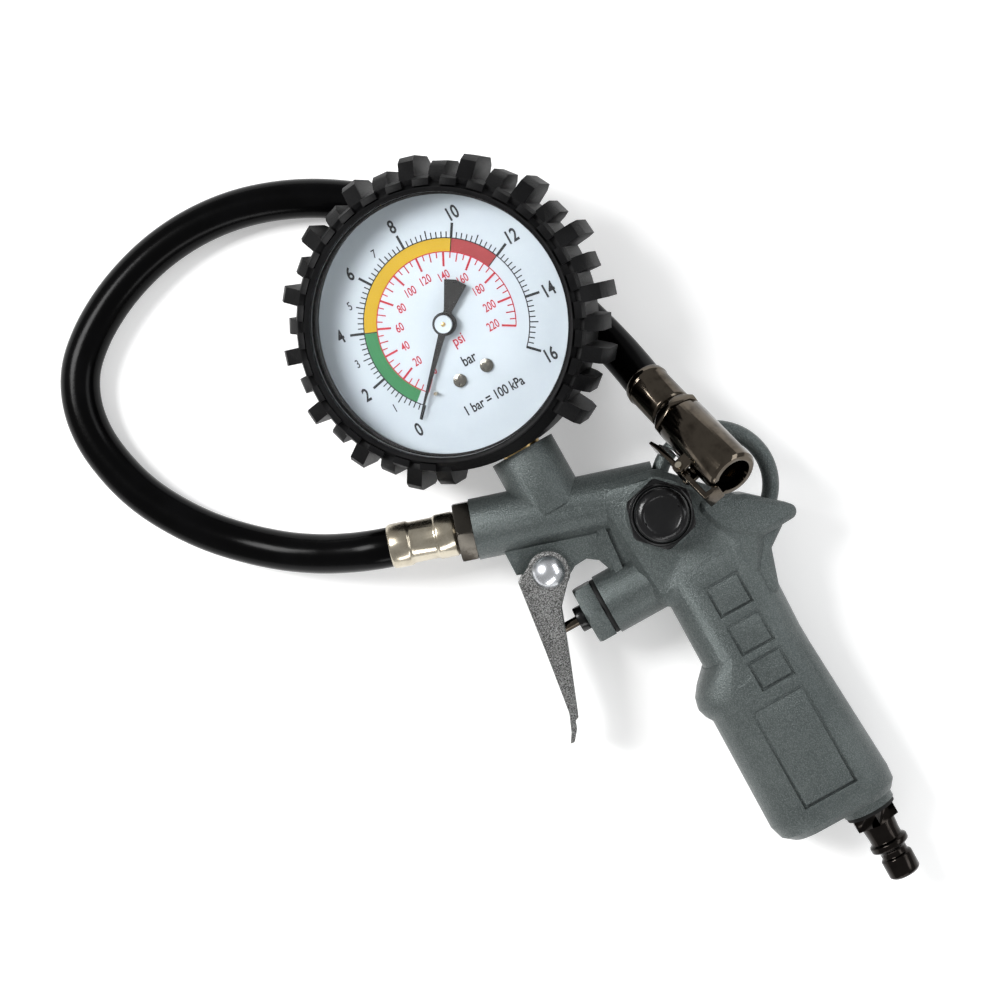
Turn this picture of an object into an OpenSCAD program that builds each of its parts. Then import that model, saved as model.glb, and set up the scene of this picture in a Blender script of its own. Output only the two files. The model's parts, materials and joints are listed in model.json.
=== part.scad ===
// Tyre inflator: a cast pistol-grip air gun with a dial gauge in a tread-pattern
// rubber boot, a short rubber hose and a clip-on chuck, resting on its side.
// Gun frame: the gauge's centre is the origin, +Y runs up the gauge's stem,
// +X runs to the back of the gun and +Z comes out of the dial's side.

/* [Gauge] */
// Outside diameter of the gauge's steel case
gauge_d = 80; // [74:1:90]
// Distance from the stem's axis back to the case's rear face
case_back = 10; // [9:0.5:14]
// Distance from the stem's axis forward to the front of the lens
case_front = 14; // [12:0.5:18]
// Sheet thickness of the case
case_wall = 0.9; // [0.8:0.1:2]
// Thickness of the lens
lens_t = 1.8; // [1.2:0.1:3]
// Height of the dial's face above the stem's axis
dial_z = 5; // [4.2:0.1:5.6]
// Turn of the gauge about its stem, away from the gun's own plane
gauge_turn = -12; // [-12:1:0]
// Length of the needle from its arbor to its tip
needle_l = 29; // [24:1:32]

/* [Boot] */
// Thickness of the rubber wall round the case
boot_wall = 2.7; // [2:0.1:4]
// Number of long tread lugs, with a short lug between each two
lug_count = 16; // [12:1:20]
// Reach of a long lug beyond the boot's wall
long_lug = 6.6; // [4:0.2:7]
// Reach of a short lug beyond the boot's wall
short_lug = 4.4; // [1:0.2:5]
// Width of a lug along the rim
lug_w = 4.6; // [3:0.2:6]

/* [Gun body] */
// Diameter of the main barrel
barrel_d = 18.4; // [17.6:0.1:22]
// Diameter of the neck that carries the gauge
neck_d = 20; // [18:0.5:24]
neck_seat = 43.2; // [42:0.2:46]
// Diameter of the valve's barrel
valve_barrel_d = 18.6; // [17.6:0.1:21]
// Half the thickness of the grip at its foot
grip_half = 14.4; // [12:0.2:16]
// Y of the grip's foot
grip_foot_y = -182.5; // [-200:0.5:-170]
// Thickness of the web that carries the trigger
web_t = 8; // [6:0.5:9]
// Rod diameter of the hanging loop
hook_d = 5; // [4:0.2:6]

/* [Trigger and valve] */
// Outside width of the trigger's channel section
trigger_w = 15; // [14:0.5:18]
// Sheet thickness of the trigger
trigger_t = 2; // [1.6:0.1:2.2]
// Diameter of the trigger's pivot pin
pivot_d = 4; // [3:0.2:5]
// Diameter of the valve's push rod
rod_d = 3; // [2.4:0.1:4]
// Width across the flats of the valve's nut
valve_nut_af = 17; // [14:0.5:18]
// Travel of the pressure release button
button_travel = 3; // [1:0.5:3]
// Width across the flats of the nut round the release button
release_nut_af = 18.6; // [18:0.2:20]
// Diameter of the release button's cap
button_d = 16; // [13:0.5:18]

/* [Hose and fittings] */
// Outside diameter of the hose
hose_d = 12; // [10:0.5:12.5]
// Width across the flats of the hose's nut
hose_nut_af = 17; // [15:0.5:20]
// Diameter of the crimped ferrules
ferrule_d = 13.4; // [13:0.2:15]
// Diameter of the chuck's barrel
chuck_d = 15; // [14:0.2:16]
// Length of the chuck from its ferrule's start to its mouth
chuck_l = 46; // [42:1:50]
// Bore of the chuck's mouth
mouth_d = 10.6; // [10:0.2:11]
// Diameter of the inlet plug's nose
plug_d = 9.8; // [8:0.2:11]

/* [Hidden] */

smooth = 64;     // facets of a true round
hull_fn = 32;    // facets of a round inside a hull
fine = 0.06;     // radial clearance of a running fit
cut = 1;         // overshoot of a cut beyond the face it opens

// How the gun lies on its side: tipped so that the grip's foot and the hose carry it
lie_tilt = 3.1;
seat = [-6.4, 80, 24];

case_r = gauge_d / 2;
case_in = case_r - case_wall;
boot_in = case_r + 0.1;
boot_r = boot_in + boot_wall;
lens_r = case_in - 0.1;
needle_rest = 225;                 // direction of the needle at zero pressure

// Gun outline: barrel front, direction of the barrel, trigger pivot, valve and release axes
barrel_front = [-23.9, -56.8];
barrel_turn = -17.5;
barrel_l = 55;
neck_top = -boot_r - 0.4;       // where the neck meets the gauge, in the gauge's frame
gauge_up = -neck_top - neck_seat;
valve_y = -95.5;
valve_face = -0.5;
valve_bore_end = 21;
pivot = [-10.6, -78.2];
release_at = [26.3, -79];
boss_r = 10.2;
boss_top = 12;
grip_x = 38;                       // axis of the air way up the grip
hook_at = [44.6, -80];
hook_r = 16.6;

thread_r = 6.5;                    // fittings screwed into the gun
thread_l = 11;
nut_l = 5;
ferrule_l = 20.6;
valve_nut_l = 5.5;
washer_t = 1.5;
gland_l = 2.8;
gland_r = 3.9;
valve_bore_r = 5.2;
rod_r = rod_d / 2;
rod_hole = rod_r + fine;

// The chuck: where its ferrule starts, how it points and how steeply it rises
chuck_at = [35, 37, 19.4];
chuck_heading = -78;
chuck_rise = 35;
chuck_ferrule_l = 16;
chuck_r = chuck_d / 2;

// Centreline of the hose from the gun's ferrule round to the chuck, on the floor between
hose_route = [[-54, 30.7, 21.3], [-59.5, 32.6, 20.7], [-66.5, 35.5, 17.8], [-75, 39.8, 13.6], [-84.5, 46, 9.6],
              [-94, 54, 6.9], [-102.5, 63, 6.1], [-109.5, 73, 6.1], [-114.8, 83.5, 6.1], [-118, 94.5, 6.1],
              [-119.2, 105.5, 6.1], [-117.6, 116, 6.1], [-113, 125.2, 6.1], [-105.2, 132.6, 6.1],
              [-95, 138.7, 6.1], [-84, 143, 6.1], [-72.5, 145.6, 6.1], [-60.5, 146.3, 6.1], [-48.5, 145, 6.1],
              [-37, 141.7, 6.1], [-25.5, 136.4, 6.1], [-14.5, 129.2, 6.1], [-4, 120.3, 6.1], [5.5, 109.8, 6.1],
              [14, 98, 6.1], [21, 85.5, 6.2], [26.6, 72.5, 6.9], [30.3, 60.5, 9.1], [32.8, 50.5, 12.3],
              [34.3, 42.5, 16], [35.1, 36.5, 19.8]];
hose_sides = 12;

// ---------- placing ----------

// Gun frame to the frame in which the gun lies at rest
module laid() {
    translate(seat)
        rotate([lie_tilt, 0, 0])
            children();
}

// The gauge's own frame, turned about its stem
module gauge_placed() {
    laid()
        translate([0, gauge_up, 0])
            rotate([0, gauge_turn, 0])
                children();
}

// A fitting's frame: +X out of the main barrel's mouth, towards the hose
module barrel_mouth() {
    laid()
        translate([barrel_front[0], barrel_front[1], 0])
            rotate([0, 0, 180 + barrel_turn])
                children();
}

// The chuck's frame: +X from its ferrule towards its mouth
module chuck_placed() {
    translate(chuck_at)
        rotate([0, -chuck_rise, chuck_heading])
            children();
}

// A rod along X from x0 to x1
module rod_x(x0, x1, r) {
    translate([x0, 0, 0])
        rotate([0, 90, 0])
            cylinder(r = r, h = x1 - x0, $fn = smooth);
}

// A hexagon along X, given across its flats
module hex_x(x0, x1, af) {
    translate([x0, 0, 0])
        rotate([0, 90, 0])
            cylinder(r = af / sqrt(3), h = x1 - x0, $fn = 6);
}

// A rod along -Y from y0 down to y1
module rod_y(x, y0, y1, r) {
    translate([x, y0, 0])
        rotate([90, 0, 0])
            cylinder(r = r, h = y0 - y1, $fn = smooth);
}

// A turned shape about X: points are [x, radius]
module turned_x(points) {
    rotate([0, 90, 0])
        rotate_extrude($fn = smooth)
            polygon([for (p = points) [p[1], p[0]]]);
}

// ---------- swept wire ----------

function cross_unit(a, b) = let (c = cross(a, b)) c / norm(c);
function step_dir(path, i) =
    let (a = path[max(i - 1, 0)], b = path[min(i + 1, len(path) - 1)]) (b - a) / norm(b - a);
function ring_points(p, t, r, n) =
    let (side = cross_unit(t, [0, 0, 1]), up = cross(side, t))
    [for (k = [0 : n - 1]) p + r * (cos(360 * k / n) * side + sin(360 * k / n) * up)];

// A tube of radius r along the points of a path, closed at both ends
module swept(path, r, n) {
    rings = len(path);
    points = [for (i = [0 : rings - 1]) each ring_points(path[i], step_dir(path, i), r, n)];
    sides = [for (i = [0 : rings - 2]) for (k = [0 : n - 1])
        [i * n + k, i * n + (k + 1) % n, (i + 1) * n + (k + 1) % n, (i + 1) * n + k]];
    first_cap = [[for (k = [n - 1 : -1 : 0]) k]];
    last_cap = [[for (k = [0 : n - 1]) (rings - 1) * n + k]];
    polyhedron(points = points, faces = concat(sides, first_cap, last_cap));
}

// Smooth curve through the route's points, with a few rings between each two
function blend(a, b, c, d, t) =
    0.5 * (2 * b + (c - a) * t + (2 * a - 5 * b + 4 * c - d) * t * t + (3 * b - a - 3 * c + d) * t * t * t);
function smooth_route(q, steps) =
    let (last = len(q) - 1)
    concat([for (i = [0 : last - 1]) for (s = [0 : steps - 1])
        blend(q[max(i - 1, 0)], q[i], q[i + 1], q[min(i + 2, last)], s / steps)], [q[last]]);

// A compression spring's wire: turns of the radius r from z0 to z1
function coil_path(r, z0, z1, turns, steps) =
    [for (i = [0 : turns * steps]) let (a = 360 * i / steps)
        [r * cos(a), r * sin(a), z0 + (z1 - z0) * i / (turns * steps)]];

// ---------- the cast body ----------

// A disc with chamfered rims, the corner of a cast plate
module lozenge(x, y, r, half) {
    edge = min(2, r / 2);
    translate([x, y, 0]) {
        cylinder(r = r, h = 2 * (half - edge), center = true, $fn = hull_fn);
        cylinder(r = r - edge, h = 2 * half, center = true, $fn = hull_fn);
    }
}

// One level of the grip: four round corners at the height y
module grip_level(y, x_front, x_back, half, corner) {
    for (x = [x_front + corner, x_back - corner])
        for (z = [-1, 1])
            translate([x, y, z * (half - corner)])
                rotate([90, 0, 0])
                    cylinder(r = corner, h = 0.4, center = true, $fn = hull_fn);
}

grip_front = 9.6;      // x of the grip's front edge
grip_back = 46.4;      // x of the grip's back edge
neck_front = 15.8;     // x of the front edge above the finger swell
foot_flare = 2.2;      // how far the back edge leans out towards the foot
swell = 1.6;           // how far the finger swell stands out of the front edge

module grip_shape() {
    foot = grip_foot_y;
    hull() {
        grip_level(-98, neck_front, grip_back + 1, 11.4, 8);
        grip_level(-110, neck_front, grip_back, 12.2, 10);
        grip_level(-130, neck_front - 0.4, grip_back - 0.2, 13.2, 11);
    }
    hull() {
        grip_level(-126, neck_front - 0.8, grip_back - 0.2, 12.9, 10.5);
        grip_level(-130, grip_front + 1.4, grip_back - 0.1, 13.1, 11);
        grip_level(-133, grip_front - swell + 0.8, grip_back, 13.3, 11);
        grip_level(-136, grip_front - swell, grip_back, 13.5, 11);
        grip_level(-138.5, grip_front - swell + 0.8, grip_back, 13.5, 11);
        grip_level(-141, grip_front + 0.8, grip_back, 13.5, 11);
    }
    hull() {
        grip_level(-134, grip_front + 0.6, grip_back, 13.4, 11);
        grip_level(foot + 6, grip_front, grip_back + foot_flare, grip_half, 11);
        grip_level(foot + 2.2, grip_front + 1.2, grip_back + foot_flare - 0.3, grip_half - 0.8, 10);
        grip_level(foot, grip_front + 4, grip_back + foot_flare - 2, grip_half - 2.6, 8);
    }
}

module receiver_shape() {
    hull() {
        lozenge(28.3, -72.4, 6, 10.5);
        lozenge(46.5, -91.8, 6, 10.5);
        lozenge(40, -104, 6, 11);
        lozenge(19, -99.5, 6, 10.5);
        lozenge(17, -70, 6, 9);
    }
    // the raised plate that ends in the tail over the hand
    hull() {
        lozenge(39.6, -84.4, 3, 12.2);
        lozenge(41.4, -90, 3, 12.2);
        lozenge(48.4, -96.4, 3, 11.8);
        lozenge(59.2, -96.9, 2.4, 8);
        lozenge(49, -88.6, 3, 10.8);
    }
    // the hollow under the tail, in two flats
    hull() {
        lozenge(54.8, -98.4, 1.6, 7);
        lozenge(48.6, -102.6, 1.6, 8.5);
        lozenge(44, -99, 4, 9);
    }
    hull() {
        lozenge(48.4, -102.8, 1.6, 8.5);
        lozenge(45.4, -108.6, 1.6, 10);
        lozenge(44.6, -114, 1.6, 10);
        lozenge(41, -104, 4, 10);
    }
}

module trigger_web() {
    linear_extrude(web_t, center = true)
        polygon([[-19, -60], [-19.4, -74.6], [-17.4, -75.4], [-15.4, -81], [-10.6, -83.8], [-6, -82.4],
                 [-3, -80.6], [1, -80.4], [4, -82.6], [6, -88], [18, -92], [18, -66], [-8, -60]]);
    translate([pivot[0], pivot[1], 0])
        cylinder(d = 11.2, h = web_t, center = true, $fn = smooth);
    linear_extrude(web_t + 3, center = true)
        polygon([[8.6, -64], [11.2, -64], [9, -88], [6.4, -88]]);
}

module hanging_loop() {
    translate([hook_at[0], hook_at[1], 0])
        rotate([0, 0, -50])
            rotate_extrude(angle = 212, $fn = smooth)
                translate([hook_r, 0])
                    circle(d = hook_d, $fn = hull_fn);
}

// Shallow frame sunk into the grip's side: a plate with an island left standing
module panel_groove(x0, x1, y0, y1, z_top) {
    groove = 0.9;
    depth = 0.6;
    translate([0, 0, z_top - depth])
        linear_extrude(depth + cut)
            difference() {
                polygon([[x0, y0], [x1, y0], [x1, y1], [x0, y1]]);
                polygon([[x0 + groove, y0 - groove], [x1 - groove, y0 - groove],
                         [x1 - groove, y1 + groove], [x0 + groove, y1 + groove]]);
            }
}

module grip_panels() {
    panel_groove(26.6, 37.6, -104, -114.2, 12);
    panel_groove(26.6, 37.6, -116.8, -126.8, 12.8);
    panel_groove(26.8, 37.8, -129, -138.4, 13.3);
    panel_groove(20.8, 38.2, -142, -174.4, 13.9);
}

module body() {
    color("slategray")
        laid()
            difference() {
                union() {
                    rod_y(0, -neck_seat, barrel_front[1] - 6, neck_d / 2);
                    translate([barrel_front[0], barrel_front[1], 0])
                        rotate([0, 0, barrel_turn])
                            rod_x(0, barrel_l, barrel_d / 2);
                    translate([0, valve_y, 0])
                        rod_x(valve_face, valve_bore_end + 6, valve_barrel_d / 2);
                    trigger_web();
                    receiver_shape();
                    grip_shape();
                    hanging_loop();
                    translate([release_at[0], release_at[1], 0])
                        cylinder(r = boss_r, h = boss_top, $fn = smooth);
                    rod_y(grip_x, grip_foot_y + 4, grip_foot_y - 3.5, 8);
                }
                body_air_ways();
                grip_panels();
                mirror([0, 0, 1])
                    grip_panels();
                translate([pivot[0], pivot[1], 0])
                    cylinder(d = pivot_d, h = web_t + 2 * cut, center = true, $fn = smooth);
            }
}

module body_air_ways() {
    // main barrel: threaded mouth and lined air way
    translate([barrel_front[0], barrel_front[1], 0])
        rotate([0, 0, barrel_turn]) {
            rod_x(-cut, thread_l + 1, thread_r);
            rod_x(0, barrel_l - 8, 4);
        }
    // neck: gauge thread and its way down
    rod_y(0, -neck_seat + cut, -neck_seat - thread_l, 5);
    rod_y(0, -neck_seat, barrel_front[1] - 5, 2.5);
    // valve chamber and the way on to the grip
    translate([0, valve_y, 0]) {
        rod_x(valve_face - cut, valve_bore_end, valve_bore_r);
        rod_x(valve_bore_end - cut, grip_x, 3);
    }
    // inlet thread and the way up the grip
    rod_y(grip_x, grip_foot_y - 3.5 + thread_l, grip_foot_y - 3.5 - cut, thread_r);
    rod_y(grip_x, valve_y, grip_foot_y, 4);
    // release valve: stem guide and spring pocket
    translate([release_at[0], release_at[1], 0]) {
        cylinder(r = 3 + fine, h = boss_top + cut, $fn = smooth);
        translate([0, 0, 6])
            cylinder(r = 5.2, h = boss_top, $fn = smooth);
    }
}

// Brass lining of the main barrel's air way
module barrel_lining() {
    color("goldenrod")
        laid()
            translate([barrel_front[0], barrel_front[1], 0])
                rotate([0, 0, barrel_turn])
                    difference() {
                        rod_x(thread_l + 1.2, thread_l + 9, 4);
                        rod_x(thread_l, thread_l + 10, 2.8);
                    }
}

// ---------- hose and its ends ----------

module hose_nut() {
    color("silver")
        barrel_mouth()
            difference() {
                union() {
                    intersection() {
                        hex_x(0, nut_l, hose_nut_af);
                        turned_x([[0, 0], [0, 9.2], [0.7, 10], [nut_l - 0.7, 10], [nut_l, 9.2], [nut_l, 0]]);
                    }
                    rod_x(-thread_l, 0, thread_r);
                }
                rod_x(-thread_l - cut, nut_l + cut, 3);
            }
}

module hose_ferrule() {
    r = ferrule_d / 2;
    end = nut_l + ferrule_l;
    color("silver")
        barrel_mouth()
            turned_x([[nut_l, 0], [nut_l, r - 0.6], [nut_l + 1, r], [nut_l + 6, r], [nut_l + 6.6, r - 0.5],
                      [end - 6.6, r - 0.5], [end - 6, r], [end - 1, r], [end, r - 0.5], [end, 0]]);
}

module hose() {
    color("black")
        swept(smooth_route(hose_route, 2), hose_d / 2, hose_sides);
}

module chuck_ferrule() {
    r = ferrule_d / 2;
    color("silver")
        chuck_placed()
            turned_x([[0, 0], [0, r - 0.7], [0.8, r], [2.6, r + 0.3], [3.4, r - 0.1], [14.6, r - 0.1],
                      [15.4, r - 1], [chuck_ferrule_l, r - 1], [chuck_ferrule_l, 0]]);
}

clip_y = -chuck_r - 2.2;      // height of the clip's pivot beside the chuck's barrel
clip_x = 34;
clip_w = 5.6;
mouth_l = 8;                  // length of the mouth's bore
seal_r = mouth_d / 2 + 0.6;   // the seal sits in a groove wider than the mouth

module chuck_body() {
    shoulder = chuck_ferrule_l + 3.4;
    color("dimgray")
        chuck_placed()
            difference() {
                union() {
                    intersection() {
                        hex_x(chuck_ferrule_l, shoulder, chuck_d - 0.4);
                        turned_x([[chuck_ferrule_l, 0], [chuck_ferrule_l, chuck_r - 0.6],
                                  [shoulder - 1, chuck_r + 0.9], [shoulder, chuck_r + 0.9], [shoulder, 0]]);
                    }
                    turned_x([[shoulder, 0], [shoulder, chuck_r - 0.5], [shoulder + 0.6, chuck_r],
                              [chuck_l - 0.8, chuck_r], [chuck_l, chuck_r - 0.8], [chuck_l, 0]]);
                    for (z = [-1, 1])
                        translate([clip_x, clip_y, z * (clip_w / 2 + 0.9)])
                            clip_ear();
                }
                rod_x(chuck_l - mouth_l - cut, chuck_l + cut, mouth_d / 2);
                rod_x(chuck_l - 11, chuck_l - mouth_l, seal_r);
                rod_x(chuck_ferrule_l + 2, chuck_l - 10, 3.4);
                // slot that the clip's jaw swings through
                translate([chuck_l - 4.4, -chuck_r - cut, -clip_w / 2 - 0.3])
                    cube([4.4 + cut, 4.6, clip_w + 0.6]);
                translate([clip_x, clip_y, 0])
                    cylinder(r = 1, h = 12, center = true, $fn = smooth);
            }
}

// An ear that holds one end of the clip's pin
module clip_ear() {
    linear_extrude(1.2, center = true)
        union() {
            circle(r = 2, $fn = smooth);
            translate([-2, 0])
                square([4, 4]);
        }
}

module clip_pin() {
    color("silver")
        chuck_placed()
            translate([clip_x, clip_y, 0])
                cylinder(r = 1, h = clip_w + 4.2, center = true, $fn = smooth);
}

// Sheet clip: thumb tab at the hose's end, jaw over the mouth at the other
module chuck_clip() {
    color("dimgray")
        chuck_placed()
            linear_extrude(clip_w, center = true)
                difference() {
                    union() {
                        polygon([[20, clip_y - 1.9], [24, clip_y - 1.4], [chuck_l + 1.4, clip_y - 0.9],
                                 [chuck_l + 1.4, clip_y + 4.2], [chuck_l + 0.3, clip_y + 4.2],
                                 [chuck_l - 0.2, clip_y + 0.6], [24, clip_y + 0.2], [20, clip_y - 0.9]]);
                        translate([clip_x, clip_y])
                            circle(r = 1.9, $fn = smooth);
                    }
                    translate([clip_x, clip_y])
                        circle(r = 1 + fine, $fn = smooth);
                }
}

// Spring leaf under the thumb tab
module clip_spring() {
    y_wall = -chuck_r - 0.1;
    color("silver")
        chuck_placed()
            linear_extrude(3, center = true)
                polygon([[22, clip_y - 0.2], [26.5, y_wall - 0.5], [30.5, y_wall - 0.5], [30.5, y_wall],
                         [26.3, y_wall], [22, clip_y + 0.3]]);
}

// Seal ring at the bottom of the mouth
module chuck_seat() {
    color("black")
        chuck_placed()
            difference() {
                rod_x(chuck_l - 11, chuck_l - mouth_l - 0.4, seal_r);
                rod_x(chuck_l - 12, chuck_l - mouth_l, 2.2);
            }
}

// Spring-loaded pin that opens the tyre's valve
module chuck_pin() {
    color("goldenrod")
        chuck_placed() {
            rod_x(chuck_l - 19, chuck_l - 14, 3.3);
            rod_x(chuck_l - 14.5, chuck_l - 8.6, 1.5);
        }
}

// ---------- trigger ----------

module trigger_face() {
    polygon([[-20.1, -76.5], [-23, -98.4], [-25.8, -117.4], [-28, -122.6], [-30, -125.6], [-28.4, -125.9],
             [-25.8, -122.6], [-23.7, -116.8], [-20.9, -98.2], [-18, -77.2]]);
}

module trigger_cheek() {
    translate(pivot)
        circle(r = 6.4, $fn = smooth);
    polygon([[-13, -72.6], [-20.1, -76.5], [-23, -98.4], [-25.8, -117.4], [-26.6, -121], [-23.8, -120],
             [-17.6, -104], [-12.2, -89], [-7, -83.4]]);
}

module trigger() {
    color("lightgray")
        laid()
            difference() {
                union() {
                    linear_extrude(trigger_w, center = true)
                        trigger_face();
                    for (side = [-1, 1])
                        translate([0, 0, side * (trigger_w - trigger_t) / 2])
                            linear_extrude(trigger_t, center = true)
                                trigger_cheek();
                }
                translate([pivot[0], pivot[1], 0])
                    cylinder(r = pivot_d / 2 + fine, h = trigger_w + 2 * cut, center = true, $fn = smooth);
            }
}

module trigger_pin() {
    head_z = trigger_w / 2 + 0.1;
    head_r = 4.9;
    color("white")
        laid()
            translate([pivot[0], pivot[1], 0]) {
                cylinder(d = pivot_d, h = 2 * head_z + 1, center = true, $fn = smooth);
                for (side = [0, 1])
                    mirror([0, 0, side])
                        translate([0, 0, head_z])
                            rotate_extrude($fn = smooth)
                                intersection() {
                                    translate([0, -2.8])
                                        circle(r = 5.65, $fn = smooth);
                                    square([head_r, 3.2]);
                                }
            }
}

// ---------- air valve ----------

module on_valve_axis() {
    laid()
        translate([0, valve_y, 0])
            children();
}

module push_rod() {
    color("silver")
        on_valve_axis()
            rod_x(-20.3, 10.2, rod_r);
}

module valve_poppet() {
    color("goldenrod")
        on_valve_axis() {
            turned_x([[10.2, 0], [10.2, 3], [11.2, 4.2], [13.6, 4.2], [13.6, 2.2], [15.6, 2.2], [15.6, 0]]);
        }
}

module valve_seat() {
    color("goldenrod")
        on_valve_axis()
            difference() {
                rod_x(7.6, 9.8, valve_bore_r - 0.02);
                rod_x(7, 10.4, 2.4);
            }
}

module valve_spring() {
    color("silver")
        on_valve_axis()
            rotate([0, 90, 0])
                swept(coil_path(3.3, 14.1, 20.4, 3, 12), 0.35, 8);
}

module valve_nut() {
    front = valve_face - washer_t - valve_nut_l;
    color("gray")
        on_valve_axis()
            difference() {
                union() {
                    intersection() {
                        hex_x(front, front + valve_nut_l, valve_nut_af);
                        turned_x([[front, 0], [front, 8.8], [front + 1, 9.8], [front + valve_nut_l, 9.8],
                                  [front + valve_nut_l, 0]]);
                    }
                    rod_x(front + 1, 5, valve_bore_r - 0.02);
                }
                rod_x(front - cut, 6, rod_hole);
            }
}

module valve_washer() {
    color("black")
        on_valve_axis()
            difference() {
                rod_x(valve_face - washer_t, valve_face, 8.7);
                rod_x(valve_face - washer_t - cut, valve_face + cut, valve_bore_r);
            }
}

module valve_gland() {
    back = valve_face - washer_t - valve_nut_l;
    color("black")
        on_valve_axis()
            difference() {
                rod_x(back - gland_l, back, gland_r);
                rod_x(back - gland_l - cut, back + cut, rod_hole);
            }
}

// ---------- pressure release ----------

module on_release_axis() {
    laid()
        translate([release_at[0], release_at[1], 0])
            children();
}

release_nut_h = 5.2;
cap_z = boss_top + button_travel + 0.3;      // underside of the button's cap

module release_button() {
    r = button_d / 2;
    stem_end = button_travel + 0.5;     // pressed in, the stem still ends clear of the guide's floor
    color("black")
        on_release_axis() {
            translate([0, 0, stem_end])
                cylinder(r = 3, h = cap_z + 1 - stem_end, $fn = smooth);
            translate([0, 0, cap_z])
                rotate_extrude($fn = smooth)
                    polygon([[0, 0], [r, 0], [r, 3.4], [r - 0.8, 4.6], [r - 2.2, 5.3], [r - 3, 4.9], [0, 4.6]]);
        }
}

module release_nut() {
    collar_r = button_d / 2 + 1.1;
    hex_h = 3.2;
    rim_r = boss_r + 0.2;
    color("dimgray")
        on_release_axis()
            difference() {
                translate([0, 0, boss_top])
                    union() {
                        intersection() {
                            rotate([0, 0, 14])
                                cylinder(r = release_nut_af / sqrt(3), h = hex_h, $fn = 6);
                            rotate_extrude($fn = smooth)
                                polygon([[0, 0], [rim_r, 0], [rim_r, hex_h - 0.9], [rim_r - 1, hex_h], [0, hex_h]]);
                        }
                        rotate_extrude($fn = smooth)
                            polygon([[0, 0], [collar_r, 0], [collar_r, release_nut_h - 0.7],
                                     [collar_r - 0.5, release_nut_h], [0, release_nut_h]]);
                    }
                cylinder(r = button_d / 2 + 0.35, h = 3 * boss_top, $fn = smooth);
            }
}

module release_spring() {
    color("silver")
        on_release_axis()
            swept(coil_path(4.2, 6.6, cap_z - 0.6, 3, 12), 0.4, 8);
}

// ---------- air inlet ----------

module on_inlet_axis() {
    laid()
        translate([grip_x, grip_foot_y - 3.5, 0])
            rotate([0, 0, -90])
                children();
}

module inlet_bush() {
    color("dimgray")
        on_inlet_axis()
            difference() {
                union() {
                    hex_x(1.2, 4.8, 13);
                    rod_x(-thread_l + 1, 1.2, thread_r);
                }
                rod_x(-thread_l - cut, 6, 3.6);
            }
}

module inlet_seal() {
    color("black")
        on_inlet_axis()
            difference() {
                rod_x(0, 1.2, 7.6);
                rod_x(-cut, 2, thread_r);
            }
}

module inlet_plug() {
    nose = plug_d / 2;
    color("silver")
        on_inlet_axis()
            difference() {
                turned_x([[-3, 0], [-3, 3.6], [4.8, 3.6], [4.8, 5.3], [9, 4.9], [10.8, 4.9],
                          [11.5, 5.9], [13.1, 5.9], [13.9, 4.6], [14.3, 4.1], [16, 4.1], [16.4, nose - 0.3],
                          [16.7, nose], [22, nose], [22.8, nose - 0.8], [22.8, 0]]);
                rod_x(-3 - cut, 24, 2.3);
            }
}

// ---------- gauge ----------

socket_r = 5;
movement_at = -19.8;        // y of the sector's arbor
pinion_pitch = 1.8;
sector_pitch = 18;
gear_gap = 0.12;            // play between meshed teeth
pinion_teeth = 12;
tooth_step = 3;             // degrees between the sector's teeth
gear_z = -2;
gear_t = 1.2;
shaft_r = 0.8;

module gauge_case() {
    color("dimgray")
        gauge_placed()
            difference() {
                translate([0, 0, -case_back])
                    cylinder(r = case_r, h = case_back + case_front, $fn = smooth);
                translate([0, 0, -case_back + case_wall])
                    cylinder(r = case_in, h = case_back + case_front, $fn = smooth);
                rod_y(0, -case_in + 3, -case_r - cut, socket_r + 1);
            }
}

module gauge_bezel() {
    color("dimgray")
        gauge_placed()
            translate([0, 0, case_front])
                difference() {
                    cylinder(r = case_r, h = 0.7, $fn = smooth);
                    translate([0, 0, -cut])
                        cylinder(r = case_in - 0.8, h = 3, $fn = smooth);
                }
}

module gauge_lens() {
    color("white", 0.3)
        gauge_placed()
            translate([0, 0, case_front - lens_t])
                cylinder(r = lens_r, h = lens_t, $fn = smooth);
}

module gauge_gasket() {
    color("black")
        gauge_placed()
            translate([0, 0, case_front - lens_t - 1.2])
                difference() {
                    cylinder(r = lens_r, h = 1.2, $fn = smooth);
                    translate([0, 0, -cut])
                        cylinder(r = lens_r - 1.4, h = 4, $fn = smooth);
                }
}

screw_at = [4.6, -16.5];
stop_at = 20.7 * [cos(needle_rest + 7), sin(needle_rest + 7)];

module dial() {
    color("white")
        gauge_placed()
            difference() {
                translate([0, 0, dial_z - 0.8])
                    cylinder(r = case_in - 0.4, h = 0.8, $fn = smooth);
                cylinder(r = shaft_r + 0.6, h = 2 * dial_z, $fn = smooth);
                for (side = [-1, 1])
                    translate([side * screw_at[0], screw_at[1], 0])
                        cylinder(r = 1.1, h = 2 * dial_z, $fn = smooth);
                translate([stop_at[0], stop_at[1], 0])
                    cylinder(r = 0.55, h = 2 * dial_z, $fn = smooth);
            }
}

module dial_screw(side) {
    color("gold")
        gauge_placed()
            translate([side * screw_at[0], screw_at[1], 0])
                difference() {
                    union() {
                        translate([0, 0, 2.4])
                            cylinder(r = 1, h = dial_z - 2, $fn = smooth);
                        translate([0, 0, dial_z])
                            cylinder(r = 2, h = 1, $fn = smooth);
                    }
                    for (turn = [0, 90])
                        rotate([0, 0, turn + 20])
                            translate([-3, -0.3, dial_z + 0.5])
                                cube([6, 0.6, 1]);
                }
}

module dial_screw_a() {
    dial_screw(-1);
}

module dial_screw_b() {
    dial_screw(1);
}

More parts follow.
